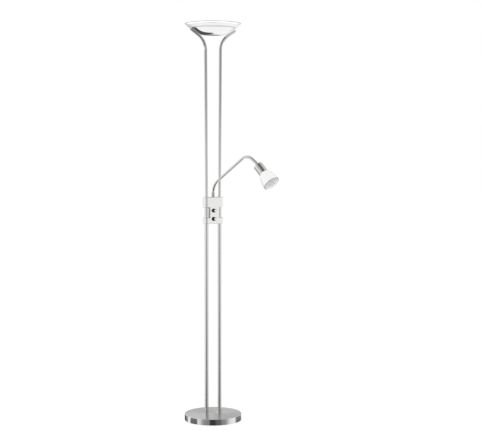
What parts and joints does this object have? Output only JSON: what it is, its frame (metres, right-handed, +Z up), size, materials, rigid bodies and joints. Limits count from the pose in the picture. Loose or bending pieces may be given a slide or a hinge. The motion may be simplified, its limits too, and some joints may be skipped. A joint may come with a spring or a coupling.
{
  "type": "floor lamp",
  "caption": "Torchiere floor lamp: round weighted base, twin tubes, dimmer housing, wide glass uplight bowl, and a reading light on a bent swivel arm.",
  "frame": {"origin": "on the floor, under the middle of the round base", "axes": "+Z up, X along the row of the two tubes, -Y towards the dimmer knobs"},
  "size_m": [0.2963, 0.4727, 1.8],
  "materials": {
    "satin_metal": "satin brushed nickel",
    "polished_metal": "polished nickel",
    "cast_weight": "as cast, grey primer",
    "soft_pad": "matt black",
    "black_plastic": "moulded",
    "white_plastic": "moulded",
    "white_ceramic": "glazed ceramic",
    "steel_fittings": "zinc plated",
    "circuit_board": "green board",
    "brass_bush": "turned",
    "white_glass": "satin white, clear at the rim",
    "bulb_glass": "opal",
    "reflector_sheet": "bright sheet",
    "quartz": "clear quartz"
  },
  "bodies": {
    "stand": {"base_cover": "satin_metal", "base_weight": "cast_weight", "base_pad": "soft_pad", "cable_inlet": "black_plastic", "foot_washers": "steel_fittings", "foot_nuts": "steel_fittings", "housing_body": "satin_metal", "housing_cover": "satin_metal", "cover_screws": "steel_fittings", "tube_set_screws": "steel_fittings", "dimmer_nuts": "steel_fittings", "dimmer_board": "circuit_board", "terminal_block": "white_plastic", "arm_bearing": "brass_bush", "bowl_dish": "polished_metal", "dish_rivets": "steel_fittings", "dish_nipple": "steel_fittings", "dish_spacer": "steel_fittings", "bracket_spacer": "steel_fittings", "lower_gasket": "soft_pad", "upper_gasket": "soft_pad", "bowl_glass": "white_glass", "lamp_bracket": "steel_fittings", "reflector": "reflector_sheet", "bracket_nut": "steel_fittings", "halogen_tube": "quartz", "left_foot_stud": "steel_fittings", "left_foot_collar": "polished_metal", "left_lower_tube": "satin_metal", "left_reducer": "steel_fittings", "left_upper_tube": "satin_metal", "left_tube_cap": "polished_metal", "left_lamp_holder": "white_ceramic", "right_foot_stud": "steel_fittings", "right_foot_collar": "polished_metal", "right_lower_tube": "satin_metal", "right_reducer": "steel_fittings", "right_upper_tube": "satin_metal", "right_tube_cap": "polished_metal", "right_lamp_holder": "white_ceramic", "upper_dimmer": "black_plastic", "lower_dimmer": "black_plastic"},
    "arm": {"arm_ferrule": "polished_metal", "arm_washer": "steel_fittings", "arm_nut": "steel_fittings", "arm_tube": "satin_metal", "socket_cup": "polished_metal", "head_nut": "steel_fittings", "reading_holder": "white_ceramic", "reading_shade": "white_glass", "shade_ring": "white_plastic", "reading_bulb": "bulb_glass"},
    "upper_knob_body": {"upper_dimmer_shaft": "steel_fittings", "upper_knob": "polished_metal"},
    "lower_knob_body": {"lower_dimmer_shaft": "steel_fittings", "lower_knob": "polished_metal"}
  },
  "joints": [
    {"name": "arm_swivel", "type": "hinge", "parent": "stand", "child": "arm", "pos_m": [0, 0, 1.02], "axis": [0, 0, 1], "range_deg": [-84, 39]},
    {"name": "upper_dimmer_turn", "type": "hinge", "parent": "stand", "child": "upper_knob_body", "pos_m": [-0.006, -0.03, 0.959], "axis": [0, 1, 0], "range_deg": [0, 270]},
    {"name": "lower_dimmer_turn", "type": "hinge", "parent": "stand", "child": "lower_knob_body", "pos_m": [-0.006, -0.03, 0.9212], "axis": [0, 1, 0], "range_deg": [0, 270]}
  ]
}
